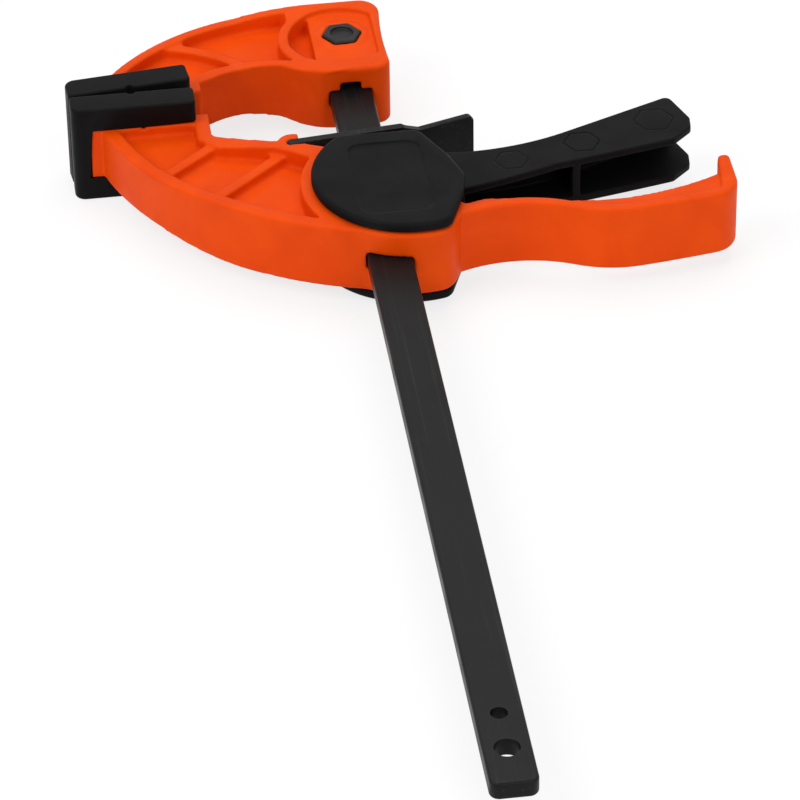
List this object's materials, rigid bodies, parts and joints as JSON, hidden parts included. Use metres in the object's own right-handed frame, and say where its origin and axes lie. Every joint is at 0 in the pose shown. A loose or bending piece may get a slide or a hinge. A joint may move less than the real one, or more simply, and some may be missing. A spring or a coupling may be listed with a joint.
{
  "type": "bar clamp",
  "caption": "One-handed quick release bar clamp: flat steel bar, orange moulded jaws with black slide-on pads, squeeze trigger and release lever.",
  "frame": {"origin": "middle of the bar's tail hole, halfway through the bar's thickness", "axes": "+Y along the bar toward the fixed jaw, +Z along the hole through the bar's thickness, +X toward the handle and trigger"},
  "size_m": [0.178, 0.3376, 0.0296],
  "materials": {
    "body_plastic": "matte",
    "dark_plastic": "satin",
    "black_steel": "satin",
    "plain_steel": "satin"
  },
  "bodies": {
    "frame": {"bar": "black_steel", "fixed_jaw": "body_plastic", "jaw_bolt": "black_steel", "jaw_nut": "black_steel", "fixed_jaw_pad": "dark_plastic"},
    "slider": {"moving_jaw": "body_plastic", "moving_jaw_pad": "dark_plastic", "trigger_pin": "plain_steel", "drive_spring": "plain_steel", "release_spring": "plain_steel"},
    "squeeze": {"trigger": "dark_plastic"},
    "drive": {"drive_plate_front": "plain_steel", "drive_plate_rear": "plain_steel"},
    "release": {"release_lever": "black_steel"}
  },
  "joints": [
    {"name": "jaw_slide", "type": "slide", "parent": "frame", "child": "slider", "axis": [0, -1, 0], "range_m": [0, 0.185]},
    {"name": "trigger_squeeze", "type": "hinge", "parent": "slider", "child": "squeeze", "pos_m": [0.0083, 0.2299, 0], "axis": [0, 0, -1], "range_deg": [0, 15], "stiffness_Nm_per_rad": 0.8, "springref_deg": -17.19},
    {"name": "drive_slide", "type": "slide", "parent": "slider", "child": "drive", "axis": [0, -1, 0], "range_m": [0, 0.0021], "deforming": ["drive_spring"]},
    {"name": "release_press", "type": "hinge", "parent": "slider", "child": "release", "pos_m": [-0.0205, 0.254, 0], "axis": [0, 0, -1], "range_deg": [0, 8], "stiffness_Nm_per_rad": 0.3, "springref_deg": -11.46, "deforming": ["release_spring"]}
  ],
  "couplings": [
    {"joint": "drive_slide", "follows": "trigger_squeeze", "m_per_rad": 0.00778}
  ]
}
